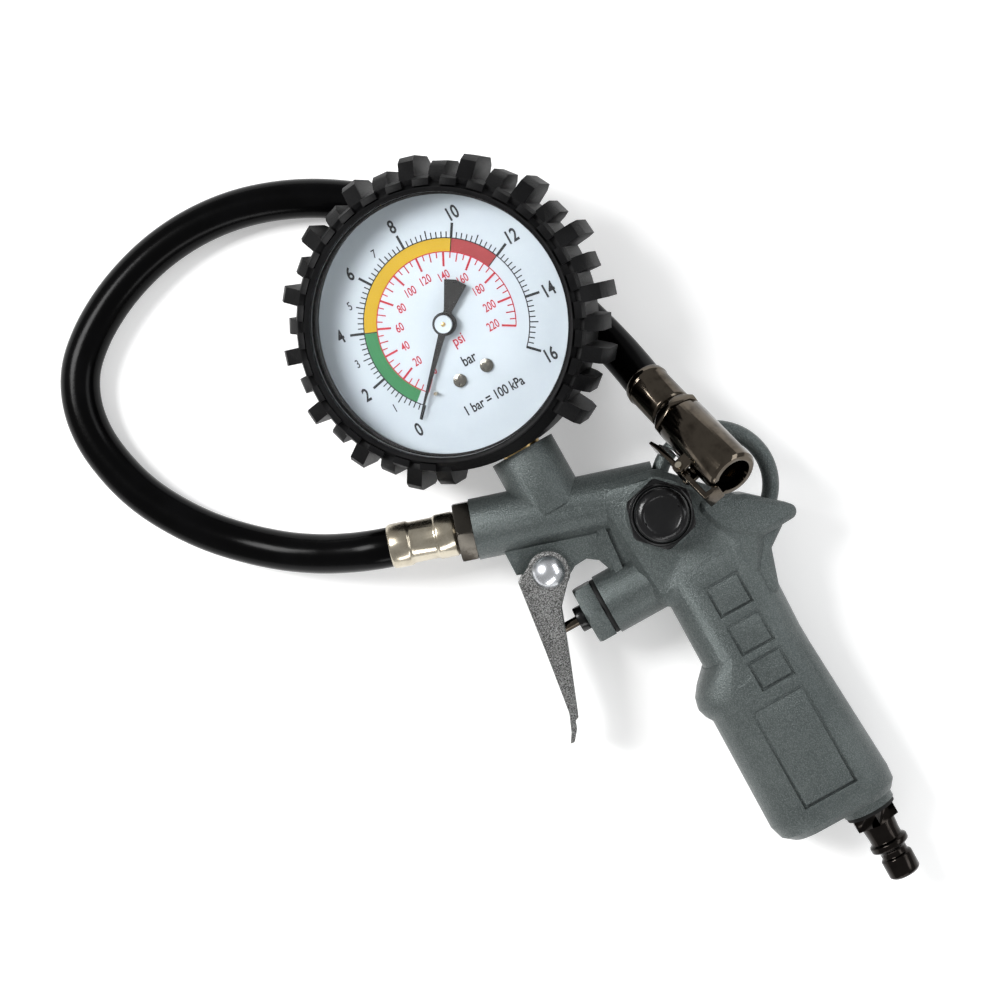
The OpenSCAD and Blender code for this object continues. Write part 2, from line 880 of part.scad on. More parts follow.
module stop_pin() {
    color("silver")
        gauge_placed()
            translate([stop_at[0], stop_at[1], dial_z - 1.4])
                cylinder(r = 0.55, h = 3.2, $fn = smooth);
}

needle_z = dial_z + 1.5;
needle_t = 0.5;

module needle() {
    color("black")
        gauge_placed() {
            translate([0, 0, needle_z])
                rotate([0, 0, needle_rest])
                    linear_extrude(needle_t)
                        polygon([[needle_l, 0.15], [needle_l, -0.15], [4, -1], [0, -1.6], [-4, -1.2],
                                 [-12.6, -3.4], [-13.4, 0], [-12.6, 3.4], [-4, 1.2], [0, 1.6], [4, 1]]);
            translate([0, 0, needle_z - 0.5])
                cylinder(r = 3.5, h = 1.6, $fn = smooth);
        }
}

module needle_cap() {
    color("whitesmoke")
        gauge_placed()
            translate([0, 0, needle_z + 1.1])
                cylinder(r = 2.6, h = 0.9, $fn = smooth);
}

// Straight-sided teeth: a fan of wedges over a disc
module gear_shape(pitch, step, first, last, half_width) {
    root = pitch - 0.32;
    tip = pitch + 0.14;
    for (a = [first : step : last])
        rotate([0, 0, a])
            polygon([[root - 0.3, -half_width - 0.1], [root, -half_width - 0.06], [tip, -half_width + 0.08],
                     [tip, half_width - 0.08], [root, half_width + 0.06], [root - 0.3, half_width + 0.1]]);
}

module pinion_shaft() {
    color("gold")
        gauge_placed() {
            translate([0, 0, -case_back + case_wall + 1])
                cylinder(r = shaft_r, h = case_back - case_wall - 1 + needle_z - 0.5, $fn = smooth);
            translate([0, 0, gear_z])
                linear_extrude(gear_t) {
                    circle(r = pinion_pitch - 0.3, $fn = smooth);
                    gear_shape(pinion_pitch, 360 / pinion_teeth, -90 + 15, 269, 0.47 / 2 - gear_gap / 2);
                }
        }
}

module sector_gear() {
    color("gold")
        gauge_placed()
            translate([0, movement_at, gear_z])
                linear_extrude(gear_t)
                    difference() {
                        union() {
                            intersection() {
                                circle(r = sector_pitch - 0.3, $fn = smooth);
                                polygon([[-1.8, -1.8], [10.6, 15], [10, 22], [-1.2, 22], [-2, 0]]);
                            }
                            gear_shape(sector_pitch, tooth_step, 60, 93, 0.47 / 2 - gear_gap / 2);
                            circle(r = 2.4, $fn = smooth);
                            polygon([[0, -1.4], [10, -1.2], [10, 1.2], [0, 1.6]]);
                            translate([10, 0])
                                circle(r = 1.3, $fn = smooth);
                        }
                        circle(r = shaft_r + fine, $fn = smooth);
                        translate([10, 0])
                            circle(r = 0.5 + fine, $fn = smooth);
                    }
}

// Link from the sector's tail towards the Bourdon tube's tip
module tube_link() {
    color("gold")
        gauge_placed()
            translate([10, movement_at, gear_z - 1]) {
                linear_extrude(0.6)
                    union() {
                        circle(r = 1.2, $fn = smooth);
                        polygon([[-0.6, 0.8], [15.2, 11.6], [16, 10.4], [0.6, -0.8]]);
                        translate([15.6, 11])
                            circle(r = 1.2, $fn = smooth);
                    }
                cylinder(r = 0.5, h = 2.4, $fn = smooth);
            }
}

module movement() {
    color("gold")
        gauge_placed()
            difference() {
                union() {
                    for (z = [-6.4, 2.4])
                        translate([-7, -24, z])
                            cube([14, 28, 1]);
                    for (x = [-5.6, 5.6])
                        translate([x, 2.6, -6])
                            cylinder(r = 1.1, h = 9, $fn = smooth);
                    translate([0, movement_at, -6])
                        cylinder(r = shaft_r, h = 9, $fn = smooth);
                    translate([-6, -24, -6])
                        cube([12, 1.4, 9]);
                }
                translate([0, 0, -10])
                    cylinder(r = shaft_r + fine, h = 20, $fn = smooth);
                for (side = [-1, 1])
                    translate([side * screw_at[0], screw_at[1], 2])
                        cylinder(r = 1, h = 2, $fn = smooth);
            }
}

tube_r = 30;                // radius of the Bourdon tube's sweep

module bourdon_tube() {
    color("gold")
        gauge_placed() {
            rotate([0, 0, -18])
                rotate_extrude(angle = 270, $fn = smooth)
                    translate([tube_r - 0.9, -5.6])
                        polygon([[0.5, 0], [1.3, 0], [1.8, 1], [1.8, 6.4], [1.3, 7.4], [0.5, 7.4], [0, 6.4],
                                 [0, 1]]);
            translate([tube_r * cos(-18) - 2.4, tube_r * sin(-18) - 0.8, -1])
                cube([3.6, 2.4, 2]);
        }
}

module hairspring() {
    turns = 3;
    steps = 24;
    function spiral(i, dr) = let (a = 360 * i / steps, r = 1.5 + 0.9 * i / steps + dr)
        [r * cos(a), r * sin(a)];
    color("silver")
        gauge_placed()
            translate([0, 0, 0.6])
                linear_extrude(0.6)
                    polygon(concat([for (i = [0 : turns * steps]) spiral(i, 0)],
                                   [for (i = [turns * steps : -1 : 0]) spiral(i, 0.2)]));
}

// Brass block that feeds the tube, with the thread that screws into the gun's neck
module gauge_socket() {
    color("goldenrod")
        gauge_placed()
            difference() {
                union() {
                    translate([-12, -36.5, -6])
                        cube([24, 12.4, 9]);
                    translate([-4.5, -case_in + 0.3, -6])
                        cube([9, case_in - 36, 9]);
                    rod_y(0, -case_in + 0.3, neck_top, socket_r + 1);
                    rod_y(0, neck_top, neck_top - thread_l + 1, socket_r);
                }
                rod_y(0, -30, neck_top - thread_l, 1.5);
                // seat for the foot of the Bourdon tube
                rotate_extrude($fn = smooth)
                    translate([tube_r - 0.95, -5.7])
                        square([1.9, 7.6]);
            }
}

// ---------- rubber boot ----------

lip_z = case_front + 0.8;       // underside of the lip over the bezel
lip_t = 2.4;
lip_r = case_in - 0.75;         // radius of the window that the lip leaves
boot_back = -case_back - 2;

// One tread lug, drawn as its section through the gauge's axis
module lug(reach, low, high, nose) {
    r = boot_r + reach;
    rotate([90, 0, 0])
        linear_extrude(lug_w, center = true)
            polygon([[boot_r - 1.6, low], [r - 2.2, low], [r, low + 3], [r, high - 6.5], [r - 1.6, high - 3],
                     [boot_r - nose, high], [boot_r - 1.9, high - 0.4]]);
}

// A square block standing on the boot's front shoulder
module shoulder_block() {
    rotate([90, 0, 0])
        linear_extrude(4.8, center = true)
            polygon([[boot_in + 0.3, lip_z - 0.6], [boot_r - 1.4, lip_z - 1.6], [boot_r + 0.3, lip_z - 0.9],
                     [boot_r - 0.6, lip_z + 1.1], [boot_r - 2.6, lip_z + 1.7]]);
}

module boot() {
    step = 360 / lug_count;
    first = 90 + 5;
    color("black")
        gauge_placed()
            difference() {
                union() {
                    rotate_extrude($fn = smooth)
                        polygon([[boot_in - 8, boot_back], [boot_r - 1.5, boot_back], [boot_r, boot_back + 1.5],
                                 [boot_r, lip_z - 2.6], [boot_r - 3, lip_z + 0.8], [case_in + 0.6, lip_z + lip_t],
                                 [lip_r, lip_z + lip_t - 0.6], [lip_r, lip_z],
                                 [boot_in, lip_z], [boot_in, -case_back - 0.1], [boot_in - 8, -case_back - 0.1]]);
                    for (k = [0 : lug_count - 1]) {
                        long_at = first + k * step;
                        short_at = long_at + step / 2;
                        if (sin(long_at) > -0.94)
                            rotate([0, 0, long_at])
                                lug(long_lug, -10, lip_z + 0.2, 0.4);
                        if (sin(short_at) > -0.94)
                            rotate([0, 0, short_at])
                                lug(short_lug, -9, lip_z - 0.6, 0.3);
                        for (side = [-1, 1])
                            if (sin(long_at + side * step / 4) > -0.9)
                                rotate([0, 0, long_at + side * step / 4])
                                    shoulder_block();
                    }
                }
                rod_y(0, -boot_in + 2, -boot_r - 10, socket_r + 1.2);
            }
}

body();
barrel_lining();
hose_nut();
hose_ferrule();
hose();
chuck_ferrule();
chuck_body();
chuck_seat();
chuck_pin();
chuck_clip();
clip_pin();
clip_spring();
trigger();
trigger_pin();
push_rod();
valve_poppet();
valve_seat();
valve_spring();
valve_nut();
valve_washer();
valve_gland();
release_button();
release_nut();
release_spring();
inlet_plug();
inlet_bush();
inlet_seal();
gauge_socket();
gauge_case();
gauge_bezel();
gauge_lens();
gauge_gasket();
dial();
dial_screw_a();
dial_screw_b();
stop_pin();
needle();
needle_cap();
pinion_shaft();
movement();
sector_gear();
tube_link();
bourdon_tube();
hairspring();
boot();
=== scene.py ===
# %% [markdown]
# # A tyre inflator with a pressure gauge
# The frame holds the whole tool as measured solids, one to each separate piece.
# This lesson gives every piece its finish, and replaces the pieces whose edges, print or rubber need more than a plain solid.

# %% Load the frame
import json
import math

import bmesh
import bpy
import numpy as np
from mathutils import Matrix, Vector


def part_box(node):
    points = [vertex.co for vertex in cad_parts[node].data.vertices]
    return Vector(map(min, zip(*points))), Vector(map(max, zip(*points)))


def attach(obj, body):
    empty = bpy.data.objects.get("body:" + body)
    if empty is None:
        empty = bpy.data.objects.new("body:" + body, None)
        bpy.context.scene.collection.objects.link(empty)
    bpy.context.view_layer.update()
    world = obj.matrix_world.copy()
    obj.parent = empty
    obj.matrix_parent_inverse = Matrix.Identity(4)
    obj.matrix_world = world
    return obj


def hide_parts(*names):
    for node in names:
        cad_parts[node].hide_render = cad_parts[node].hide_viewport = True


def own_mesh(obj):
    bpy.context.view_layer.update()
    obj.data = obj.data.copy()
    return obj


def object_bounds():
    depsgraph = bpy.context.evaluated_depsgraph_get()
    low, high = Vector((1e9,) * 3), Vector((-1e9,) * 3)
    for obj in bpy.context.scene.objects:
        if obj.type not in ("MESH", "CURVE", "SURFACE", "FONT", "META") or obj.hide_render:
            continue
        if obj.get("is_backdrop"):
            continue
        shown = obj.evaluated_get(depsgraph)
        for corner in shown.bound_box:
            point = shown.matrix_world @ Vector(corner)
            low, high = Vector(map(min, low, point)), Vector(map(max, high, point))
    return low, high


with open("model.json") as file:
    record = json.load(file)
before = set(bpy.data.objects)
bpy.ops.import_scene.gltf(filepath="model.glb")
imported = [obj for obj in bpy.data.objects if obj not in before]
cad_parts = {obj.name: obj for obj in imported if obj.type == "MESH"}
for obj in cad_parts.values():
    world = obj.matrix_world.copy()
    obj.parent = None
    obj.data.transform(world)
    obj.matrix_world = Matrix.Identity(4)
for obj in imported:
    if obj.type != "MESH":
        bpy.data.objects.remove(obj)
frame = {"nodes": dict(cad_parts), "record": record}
nodes = frame["nodes"]
body_of_node = {n: b for b, members in frame["record"]["behaviour"]["bodies"].items() for n in members}
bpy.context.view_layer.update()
MM = 0.001

# %% [markdown]
# Three frames are used. The gun lies on its side, tipped by a few degrees, its gauge is turned a little about the stem,
# and the chuck at the hose's end leans with its mouth up.
# A 3 by 3 matrix and a shift take points from a piece's own frame to the shared one, for a whole array at once.

# %% Frames of the gun, the gauge and the chuck
def turn(axis, degrees):
    """Rotation matrix about x, y or z, by the right-hand rule."""
    c, s = math.cos(math.radians(degrees)), math.sin(math.radians(degrees))
    i, j = {"x": (1, 2), "y": (2, 0), "z": (0, 1)}[axis]
    m = np.eye(3)
    m[i, i], m[i, j], m[j, i], m[j, j] = c, -s, s, c
    return m


GUN = (turn("x", 3.1), np.array([-6.4, 80.0, 24.0]))
GAUGE = (GUN[0] @ turn("y", -12), GUN[1])
CHUCK = (turn("z", -78) @ turn("y", -35), np.array([35.0, 37.0, 19.4]))


def placed(points, place):
    """Points in millimetres in a piece's frame, as metres in the shared one: p' = (R p + t) / 1000."""
    rotation, shift = place
    return (np.asarray(points, float).reshape(-1, 3) @ rotation.T + shift) * MM


print("gauge centre", placed([0, 0, 0], GAUGE).round(4).tolist())

# %% [markdown]
# Surfaces are grids of points. A grid that closes on itself in one direction is a tube, and its two ends are closed with caps.

# %% Helpers that turn arrays into meshes
def mesh_piece(name, points, faces, finish, body, smooth=40):
    """A piece from an array of points in metres and a list of faces, shaded smooth below an edge angle."""
    mesh = bpy.data.meshes.new(name)
    mesh.from_pydata(np.asarray(points).tolist(), [], [tuple(int(i) for i in f) for f in faces])
    mesh.validate()
    mesh.update()
    piece = bpy.data.objects.new(name, mesh)
    bpy.context.scene.collection.objects.link(piece)
    mesh.materials.append(finish)
    mesh.shade_smooth()
    mesh.set_sharp_from_angle(angle=math.radians(smooth))
    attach(piece, body)
    return piece


def tube_faces(rings, sides, first=0, caps=True):
    """Quads between rings of a tube, with a polygon over each end."""
    i, k = np.meshgrid(np.arange(rings - 1), np.arange(sides), indexing="ij")
    a, b = i * sides + k, i * sides + (k + 1) % sides
    quads = (np.stack([a, b, b + sides, a + sides], -1).reshape(-1, 4) + first).tolist()
    if caps:
        quads.append((np.arange(sides)[::-1] + first).tolist())
        quads.append((np.arange(sides) + (rings - 1) * sides + first).tolist())
    return quads


def turned(profile, sides=96):
    """Surface of revolution about z: each profile point (r, z) becomes the circle r cos a, r sin a, z."""
    r, z = np.asarray(profile, float).T
    a = np.arange(sides) * 2 * math.pi / sides
    return np.stack([np.outer(r, np.cos(a)), np.outer(r, np.sin(a)), np.outer(z, np.ones(sides))], -1).reshape(-1, 3)


def join_parts(parts):
    """One point array and face list from several."""
    points, faces, first = [], [], 0
    for p, f in parts:
        points.append(p)
        faces += [[i + first for i in face] for face in f]
        first += len(p)
    return np.concatenate(points), faces


print("helpers ready")

# %% [markdown]
# Shader maths reads best as ordinary expressions, so one small class wraps a socket and adds a Math node for each operator.

# %% A socket that can be used in expressions
class Wire:
    """One output socket. wire * 2 + other adds the Math nodes for it."""

    def __init__(self, finish, socket):
        self.finish, self.socket = finish, socket

    def maths(self, operation, *values):
        return self.finish.node("ShaderNodeMath", {"operation": operation}, dict(enumerate(values)))

    def __add__(self, other):
        return self.maths("ADD", self, other)

    def __sub__(self, other):
        return self.maths("SUBTRACT", self, other)

    def __rsub__(self, other):
        return self.maths("SUBTRACT", other, self)

    def __mul__(self, other):
        return self.maths("MULTIPLY", self, other)

    def size(self):
        """The value without its sign."""
        return self.maths("ABSOLUTE", self)

    def above(self, edge, width):
        """0 below edge, 1 above edge + width, and smooth between them."""
        return self.finish.node(
            "ShaderNodeMapRange",
            {"interpolation_type": "SMOOTHSTEP"},
            {"Value": self, "From Min": edge, "From Max": edge + width},
        )

    __radd__, __rmul__ = __add__, __mul__


class Finish:
    """A material under construction: a Principled shader and the nodes that feed it."""

    def __init__(self, name, **sockets):
        self.material = bpy.data.materials.new(name)
        self.material.use_nodes = True
        self.tree = self.material.node_tree
        self.shader = self.tree.nodes["Principled BSDF"]
        self.place = self.node("ShaderNodeTexCoord", out="Object")
        self.set(**sockets)

    def node(self, kind, settings=None, inputs=None, out=0):
        """Any node: its type, its settings, and the values or wires of its sockets."""
        made = self.tree.nodes.new(kind)
        for key, value in (settings or {}).items():
            setattr(made, key, value)
        for key, value in (inputs or {}).items():
            self.feed(made.inputs[key], value)
        return Wire(self, made.outputs[out])

    def feed(self, socket, value):
        """A wire is linked to the socket, and anything else becomes its value."""
        if isinstance(value, Wire):
            self.tree.links.new(value.socket, socket)
        elif socket.type == "RGBA":
            socket.default_value = (*value, 1)
        else:
            socket.default_value = value

    def set(self, **sockets):
        """Values or wires for the shader's own sockets, by name."""
        for key, value in sockets.items():
            self.feed(self.shader.inputs[key.replace("_", " ").title().replace("Ior", "IOR")], value)
        return self

    def noise(self, per_mm, detail=3.0, roughness=0.55):
        """Cloudy value of about 0 to 1, with features of 1 / per_mm millimetres."""
        return self.node(
            "ShaderNodeTexNoise",
            None,
            {"Vector": self.place, "Scale": per_mm * 1000, "Detail": detail, "Roughness": roughness},
        )

    def cells(self, per_mm):
        """Distance to the nearest of scattered points, which lie about 1 / per_mm millimetres apart."""
        return self.node("ShaderNodeTexVoronoi", None, {"Vector": self.place, "Scale": per_mm * 1000})

    def mix(self, low, high, mask):
        """Colour that goes from low to high as mask goes from 0 to 1."""
        return self.node(
            "ShaderNodeMix", {"data_type": "RGBA"}, {"Factor": mask, 6: low, 7: high}, out=2
        )

    def bump(self, height, depth_mm, strength=1.0):
        """Normal that leans as the height changes over the surface."""
        return self.node("ShaderNodeBump", None, {"Height": height, "Distance": depth_mm * MM, "Strength": strength})


print("shader helpers ready")

# %% [markdown]
# The camera looks almost straight down on the tool, with a roll that stands the gauge's stem at an angle.
# Its place is given by fixed numbers, so that it sees the whole tool in a square picture.

# %% Camera
ROLL = np.array([-0.01808, -0.04780, 0.51081])
angle = float(np.linalg.norm(ROLL))
u = ROLL / angle
K = np.array([[0, -u[2], u[1]], [u[2], 0, -u[0]], [-u[1], u[0], 0]])
to_camera = np.eye(3) + math.sin(angle) * K + (1 - math.cos(angle)) * K @ K
CAMERA_AWAY = 600.0        # mm from the tool to the lens
SENSOR = 36.0              # width of the sensor in mm
PICTURE_SIDE = 1000        # the picture is square
POINTS_PER_MM = 3.3716     # picture points to a millimetre at that distance
camera_at = to_camera.T @ np.array([-20.38, -3.22, CAMERA_AWAY]) + np.array([0.0, 20.0, 20.0])
lens_mm = POINTS_PER_MM * CAMERA_AWAY / PICTURE_SIDE * SENSOR
camera = bpy.data.objects.new("camera", bpy.data.cameras.new("camera"))
bpy.context.scene.collection.objects.link(camera)
pose = np.eye(4)
pose[:3, :3], pose[:3, 3] = to_camera.T, camera_at * MM
camera.matrix_world = Matrix(pose.tolist())
camera.data.lens = lens_mm
camera.data.sensor_width = SENSOR
camera.data.clip_start, camera.data.clip_end = 0.01, 10
bpy.context.scene.camera = camera
print("camera at", camera_at.round(1).tolist(), "lens", round(lens_mm, 1))

# %% [markdown]
# The hose is a smooth black rubber tube, 12 mm thick. It leaves the gun's crimped ferrule, drops to the floor,
# goes round in one wide loop, passes under the gauge and climbs to the chuck's ferrule.
# It is a free hose, so it is one smooth curve through points on that route.

# %% Route of the hose
HOSE_D = 12.0
HOSE_ROUTE = np.array([
    [-54, 30.7, 21.3], [-59.5, 32.6, 20.7], [-66.5, 35.5, 17.8], [-75, 39.8, 13.6], [-84.5, 46, 9.6],
    [-94, 54, 6.9], [-102.5, 63, 6.1], [-109.5, 73, 6.1], [-114.8, 83.5, 6.1], [-118, 94.5, 6.1],
    [-119.2, 105.5, 6.1], [-117.6, 116, 6.1], [-113, 125.2, 6.1], [-105.2, 132.6, 6.1],
    [-95, 138.7, 6.1], [-84, 143, 6.1], [-72.5, 145.6, 6.1], [-60.5, 146.3, 6.1], [-48.5, 145, 6.1],
    [-37, 141.7, 6.1], [-25.5, 136.4, 6.1], [-14.5, 129.2, 6.1], [-4, 120.3, 6.1], [5.5, 109.8, 6.1],
    [14, 98, 6.1], [21, 85.5, 6.2], [26.6, 72.5, 6.9], [30.3, 60.5, 9.1], [32.8, 50.5, 12.3],
    [34.3, 42.5, 16], [35.1, 36.5, 19.8]])


def smooth_curve(points, steps):
    """Catmull-Rom curve: between b and c it is half of 2b + (c-a)t + (2a-5b+4c-d)t^2 + (3b-a-3c+d)t^3."""
    p = np.concatenate([points[:1], points, points[-1:]])
    t = (np.arange(steps) / steps)[None, :, None]
    a, b, c, d = (p[i:len(p) - 3 + i, None, :] for i in range(4))
    curve = 0.5 * (2 * b + (c - a) * t + (2 * a - 5 * b + 4 * c - d) * t**2 + (3 * b - a - 3 * c + d) * t**3)
    return np.concatenate([curve.reshape(-1, 3), points[-1:]])


def swept(path, radius, sides):
    """Tube along a path: p + r (cos a * side + sin a * up), where side and up are square to the path's direction.
    radius is one number or one for each point of the path."""
    along = np.gradient(path, axis=0)
    along /= np.linalg.norm(along, axis=1)[:, None]
    side = np.cross(along, [0.0, 0.0, 1.0])
    side /= np.linalg.norm(side, axis=1)[:, None]
    up = np.cross(side, along)
    a = np.arange(sides) * 2 * math.pi / sides
    ring = np.cos(a)[None, :, None] * side[:, None] + np.sin(a)[None, :, None] * up[:, None]
    return (path[:, None] + np.broadcast_to(radius, len(path))[:, None, None] * ring).reshape(-1, 3)


hose_path = smooth_curve(HOSE_ROUTE, 6)

# %% [markdown]
# The hose's rubber is smooth and slightly glossy, with faint scuffs and a very fine grain.

# %% Rubber of the hose
hose_rubber = Finish("hose rubber", specular_ior_level=0.07)
dust = hose_rubber.noise(0.05, 4).above(0.45, 0.3)
hose_rubber.set(
    base_color=hose_rubber.mix((0.0008, 0.0008, 0.0009), (0.002, 0.002, 0.0023), dust),
    roughness=0.15 + 0.1 * hose_rubber.noise(0.35, 5),
    normal=hose_rubber.bump(hose_rubber.noise(0.9, 3), 0.035, 0.5),
)

HOSE_SIDES = 40
hose = mesh_piece(
    "hose_tube", swept(hose_path, HOSE_D / 2, HOSE_SIDES) * MM, tube_faces(len(hose_path), HOSE_SIDES),
    hose_rubber.material, "gun",
)
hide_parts("hose")

# %% [markdown]
# Cast, turned and pressed metal never has a sharp edge: each edge is broken by a small radius that catches the light.
# A solid from the frame is copied, its loose triangles are merged, and a Bevel modifier rounds every edge above an angle.

# %% A solid with its edges broken
def eased(node, width_mm, finish, segments=2, edge=32):
    """A copy of a solid with edges rounded to width_mm, which replaces the solid on the same body."""
    source = nodes[node]
    mesh = source.data.copy()
    piece = bpy.data.objects.new(node + "_finished", mesh)
    bpy.context.scene.collection.objects.link(piece)
    work = bmesh.new()
    work.from_mesh(mesh)
    bmesh.ops.remove_doubles(work, verts=work.verts, dist=2e-6)
    bmesh.ops.dissolve_degenerate(work, edges=work.edges, dist=1e-6)
    bmesh.ops.dissolve_limit(
        work, angle_limit=math.radians(0.6), verts=work.verts, edges=work.edges, use_dissolve_boundaries=False
    )
    work.to_mesh(mesh)
    work.free()
    mesh.materials.clear()
    mesh.materials.append(finish)
    mesh.shade_smooth()
    if width_mm:
        bevel = piece.modifiers.new("edges", "BEVEL")
        bevel.limit_method = "ANGLE"
        bevel.angle_limit = math.radians(edge)
        bevel.width = width_mm * MM
        bevel.segments = segments
        bevel.use_clamp_overlap = True
        bevel.harden_normals = True
    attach(piece, body_of_node[node])
    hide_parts(node)
    return piece


def coat(finish, *names):
    """The same material on several CAD nodes."""
    for n in names:
        data = nodes[n].data
        data.materials.clear()
        data.materials.append(finish)


# %% [markdown]
# The gun is a zinc casting under a thick grey-green paint with a sandy texture and a little metal flake.
# Close up it is a field of small round grains, so cells of about half a millimetre make the bump,
# and a slower cloud varies how far the grains stand out and how worn the paint is.
# The grain tops are also painted lighter than the hollows between them: painted light and shade on that relief.

# %% Paint of the casting
def sandy_paint(name, dark, light, metallic):
    """Textured metallic paint: round grains of 0.4 mm, finer grit between them, and a slow cloud of wear."""
    paint = Finish(name, metallic=metallic)
    grains = paint.cells(2.4)
    grit = paint.noise(4.2, 4, 0.7)
    cloud = paint.noise(0.045, 3)
    relief = (1 - grains) * 0.6 + grit * 0.7
    grain_tops_painted_light = relief.above(0.55, 0.5)
    flake = paint.noise(3.6, 2).above(0.6, 0.06)
    paint.set(
        # Painted light and shade: grain tops lighter than the hollows, over the real flake and the cloud of wear.
        base_color=paint.mix(dark, light, grain_tops_painted_light * 0.42 + flake * 0.3 + (cloud - 0.4) * 0.4),
        roughness=0.4 - 0.12 * flake - 0.05 * grain_tops_painted_light,
        normal=paint.bump(relief, 0.17, 0.8),
    )
    return paint.material


cast_paint = sandy_paint("cast body paint", (0.062, 0.074, 0.073), (0.26, 0.29, 0.282), 0.6)
gun = eased("body", 0.8, cast_paint, 3, 28)
valve_hex = eased("valve_nut", 0.45, cast_paint, 2, 28)
print("gun", len(gun.data.polygons), "faces before its edges are rounded")

# %% [markdown]
# Turned fittings are nickel plated: a warm bright metal with fine lathe lines, dulled a little in scattered patches.
# The chuck and the plug have a darker plating, polished nearly to a mirror.

# %% Platings
def plating(name, tone, shade, rough, grain):
    """Plated metal: tone is the clean colour, shade that of the tarnish, grain the depth of its fine unevenness."""
    metal = Finish(name, metallic=1.0)
    tarnish = metal.noise(0.16, 5, 0.65).above(0.4, 0.35)
    hairs = metal.noise(1.3, 3)
    metal.set(
        base_color=metal.mix(tone, shade, tarnish * 0.8),
        roughness=rough + 0.13 * tarnish + 0.05 * hairs,
        normal=metal.bump(hairs, 0.012 * grain, 0.6),
    )
    return metal.material


nickel = plating("warm nickel", (0.56, 0.51, 0.41), (0.25, 0.21, 0.15), 0.18, 1.0)
dark_nickel = plating("dark nickel", (0.10, 0.084, 0.066), (0.022, 0.017, 0.013), 0.07, 0.8)
black_nickel = plating("black nickel", (0.022, 0.019, 0.017), (0.007, 0.006, 0.005), 0.13, 0.8)
chrome = plating("polished chrome", (0.78, 0.80, 0.83), (0.50, 0.52, 0.55), 0.2, 0.4)
spring_steel = plating("spring steel", (0.50, 0.51, 0.52), (0.27, 0.27, 0.28), 0.28, 1.0)
case_steel = plating("case steel", (0.42, 0.43, 0.44), (0.2, 0.2, 0.2), 0.3, 1.0)
brass = plating("brass", (0.72, 0.52, 0.24), (0.40, 0.26, 0.10), 0.22, 1.0)
nut_nickel = plating("nut nickel", (0.062, 0.057, 0.049), (0.025, 0.021, 0.017), 0.2, 1.0)
hose_nut = eased("hose_nut", 0.4, nut_nickel)
hose_ferrule = eased("hose_ferrule", 0.35, nickel)
chuck_ferrule = eased("chuck_ferrule", 0.35, dark_nickel)
chuck_body = eased("chuck_body", 0.35, dark_nickel)
chuck_clip = eased("chuck_clip", 0.25, dark_nickel)
inlet_plug = eased("inlet_plug", 0.25, black_nickel)
inlet_bush = eased("inlet_bush", 0.35, black_nickel)
coat(nickel, "clip_pin", "stop_pin")
coat(chrome, "trigger_pin")
coat(dark_nickel, "push_rod")
coat(spring_steel, "hairspring")
coat(case_steel, "gauge_case", "gauge_bezel")
coat(
    brass, "barrel_lining", "chuck_pin", "valve_poppet", "valve_seat", "gauge_socket", "pinion_shaft", "movement",
    "sector_gear", "tube_link", "bourdon_tube",
)

# %% [markdown]
# Three springs are pressed shorter when the trigger, the button or the clip is worked.
# Each is a copy of its solid in spring steel, with a mesh of its own.

# %% Springs
def springy(node, fixed_end):
    """A copy of the spring's solid in spring steel, with a mesh of its own."""
    spring = eased(node, 0, spring_steel)
    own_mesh(spring)


valve_low, valve_high = (np.array(corner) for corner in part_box("valve_spring"))
springy("valve_spring", valve_high)
RELEASE_FOOT, CLIP_FOOT = [26.3, -79, 6.2], [26, -7.6, 0]     # fixed ends, in the gun's and the chuck's frames
springy("release_spring", placed(RELEASE_FOOT, GUN)[0])
springy("clip_spring", placed(CLIP_FOOT, CHUCK)[0])

# %% [markdown]
# The trigger is cast and chromed. Its cheeks keep the sandy skin of the mould under the chrome, and its edges and front
# are polished.
# The cheeks, the faces that point up and down, are also painted near black, with the skin's grain lighter on them: a
# painted dark reflection.

# %% Trigger
cast_chrome = Finish("chromed casting", metallic=1.0)
facing = cast_chrome.node("ShaderNodeTexCoord", out="Normal")
cheek_painted_dark = cast_chrome.node("ShaderNodeSeparateXYZ", None, {0: facing}, out="Z").size().above(0.72, 0.2)
skin = cast_chrome.noise(2.6, 5, 0.8)
pits = cast_chrome.cells(1.8)
grain = (skin.above(0.42, 0.2) * 0.85 + (1 - pits) * 0.1) * cheek_painted_dark
polish = 1 - cheek_painted_dark
cast_chrome.set(
    # Painted reflection: faces that point up and down get a near black chrome colour, lightened by the skin's grain,
    # and all other faces a bright one.
    base_color=cast_chrome.mix((0.03, 0.03, 0.028), (0.80, 0.80, 0.79), grain * 0.45 + polish),
    roughness=0.14 + 0.16 * cheek_painted_dark,
    normal=cast_chrome.bump((skin * 0.8 - pits * 0.3) * cheek_painted_dark, 0.3, 0.8),
)
trigger = eased("trigger", 0.8, cast_chrome.material, 3)

# %% [markdown]
# The boot, the release valve, the seals and the needle are black, but each black is its own: matt rubber, satin plastic, flat paint.

# %% Rubber, plastic and flat black
def matt_black(name, dark, light, rough, grain_per_mm, depth, gloss=0.16):
    """Black moulded material: a cloud of bloom over a fine grain."""
    black = Finish(name, specular_ior_level=gloss)
    bloom = black.noise(0.07, 4, 0.6).above(0.38, 0.35)
    grain = black.noise(grain_per_mm, 4, 0.6)
    black.set(
        base_color=black.mix(dark, light, bloom),
        roughness=rough - 0.12 * grain,
        normal=black.bump(grain, depth, 0.7),
    )
    return black.material


